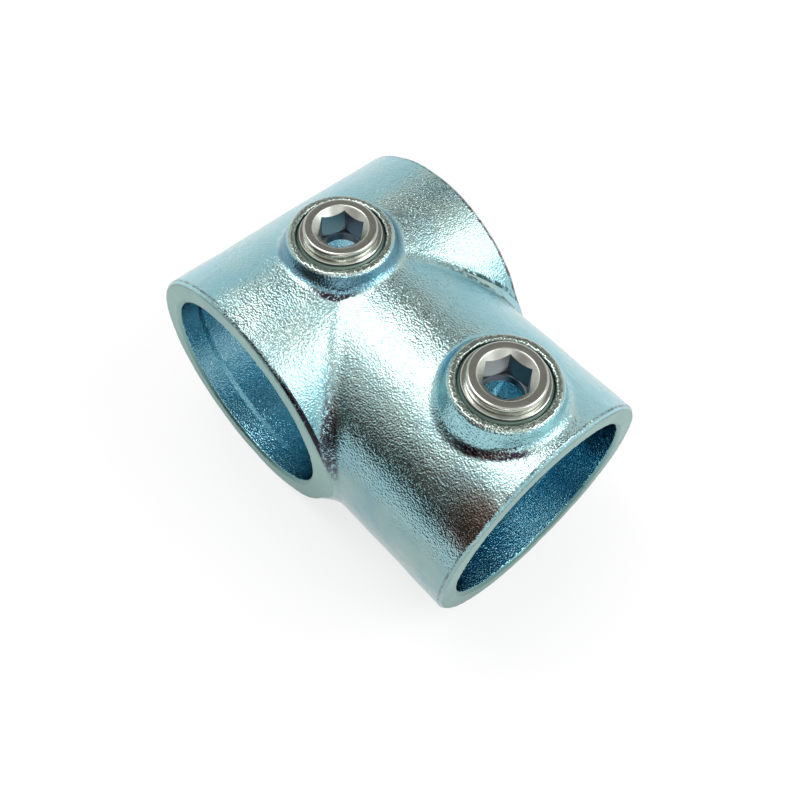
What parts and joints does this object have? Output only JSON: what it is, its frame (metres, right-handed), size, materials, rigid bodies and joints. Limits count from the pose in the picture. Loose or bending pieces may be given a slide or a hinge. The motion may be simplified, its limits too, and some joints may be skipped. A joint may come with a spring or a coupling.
{
  "type": "tube clamp tee fitting",
  "caption": "Short cast tee socket that joins a branch tube square to a run tube, each tube held by a hexagon socket set screw in a raised boss.",
  "frame": {"origin": "where the run tube's axis crosses the branch tube's axis", "axes": "+Y along the run bore, +X along the branch bore towards its mouth, +Z along both set screws towards their key sockets"},
  "size_m": [0.0842, 0.0536, 0.0576],
  "materials": {
    "zinc_casting": "bright zinc plated as-cast skin",
    "run_screw_steel": "smooth plated steel",
    "branch_screw_steel": "smooth plated steel"
  },
  "bodies": {
    "fitting": {"tee_casting": "zinc_casting"},
    "run_screw": {"run_set_screw": "run_screw_steel"},
    "branch_screw": {"branch_set_screw": "branch_screw_steel"}
  },
  "joints": [
    {"name": "run_screw_travel", "type": "slide", "parent": "fitting", "child": "run_screw", "axis": [0, 0, -1], "range_m": [-0.003, 0.0014]},
    {"name": "branch_screw_travel", "type": "slide", "parent": "fitting", "child": "branch_screw", "axis": [0, 0, -1], "range_m": [-0.003, 0.0014]}
  ]
}
